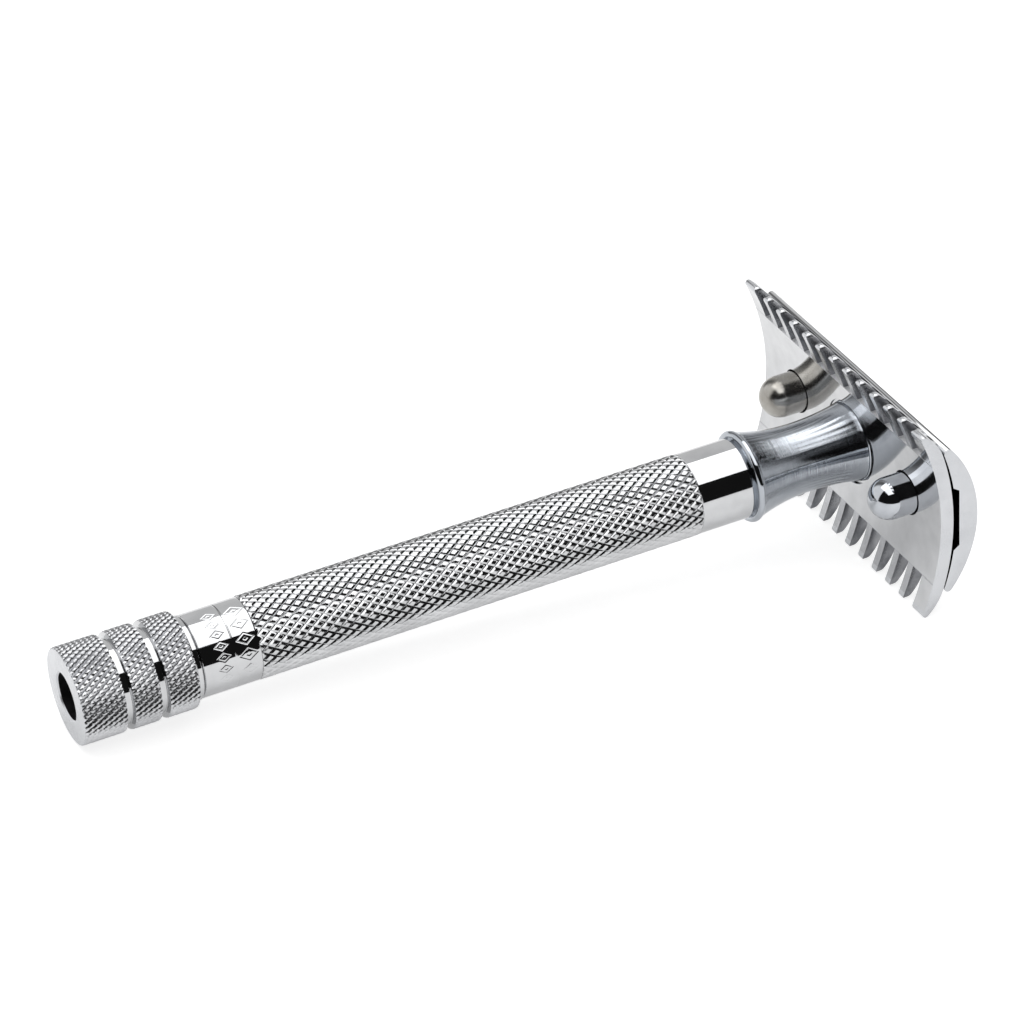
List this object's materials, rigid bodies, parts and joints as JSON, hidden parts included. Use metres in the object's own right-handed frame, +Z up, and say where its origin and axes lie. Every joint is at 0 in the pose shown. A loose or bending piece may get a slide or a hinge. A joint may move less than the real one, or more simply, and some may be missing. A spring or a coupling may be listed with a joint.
{
  "type": "safety razor",
  "caption": "Open-comb double-edge safety razor, unscrewing into domed cap, comb plate and knurled handle with a grooved end knob and a waisted neck.",
  "frame": {"origin": "on the table, under the middle of the razor's bounding box, as it lies on its lower comb tips and the knob's rim", "axes": "+X from the knob towards the head, +Y along the cutting edge, away from the side whose end face is seen first, +Z up from the table; the razor's own axis rises 3.92 degrees from the knob to the head"},
  "size_m": [0.1062, 0.0418, 0.0251],
  "materials": {
    "knob_chrome": "chrome plate over fine diamond knurling, with a satin end face and polished grooves",
    "ring_chrome": "polished chrome plate",
    "grip_chrome": "polished chrome plate, diamond knurled over most of its length",
    "screw_steel": "zinc plated steel, plain",
    "washer_steel": "spring steel, plain",
    "neck_chrome": "chrome plate over fine turning marks",
    "bush_brass": "turned brass, internal thread",
    "plate_chrome": "chrome plate, softly polished, ground end faces",
    "cap_chrome": "polished chrome plate on the outside, satin end faces",
    "stud_steel": "nickel plated steel, M5 thread",
    "pin_chrome": "chrome plate, slightly worn at the domes"
  },
  "bodies": {
    "handle": {"knob": "knob_chrome", "spacer_ring": "ring_chrome", "grip_tube": "grip_chrome", "tie_screw": "screw_steel", "lock_washer": "washer_steel", "neck": "neck_chrome", "thread_bush": "bush_brass"},
    "guard": {"comb_plate": "plate_chrome"},
    "blade_cap": {"cap": "cap_chrome", "cap_stud": "stud_steel", "locating_pin_near": "pin_chrome", "locating_pin_far": "pin_chrome"}
  },
  "joints": [
    {"name": "head_turn", "type": "hinge", "parent": "handle", "child": "guard", "pos_m": [0.04819, 0, 0.01268], "axis": [0.9977, 0, 0.0683], "range_deg": [0, 2880]},
    {"name": "cap_lift", "type": "slide", "parent": "guard", "child": "blade_cap", "axis": [0.9977, 0, 0.0683], "range_m": [0, 0.00641]}
  ],
  "couplings": [
    {"joint": "cap_lift", "follows": "head_turn", "m_per_rad": 0.00012732}
  ]
}
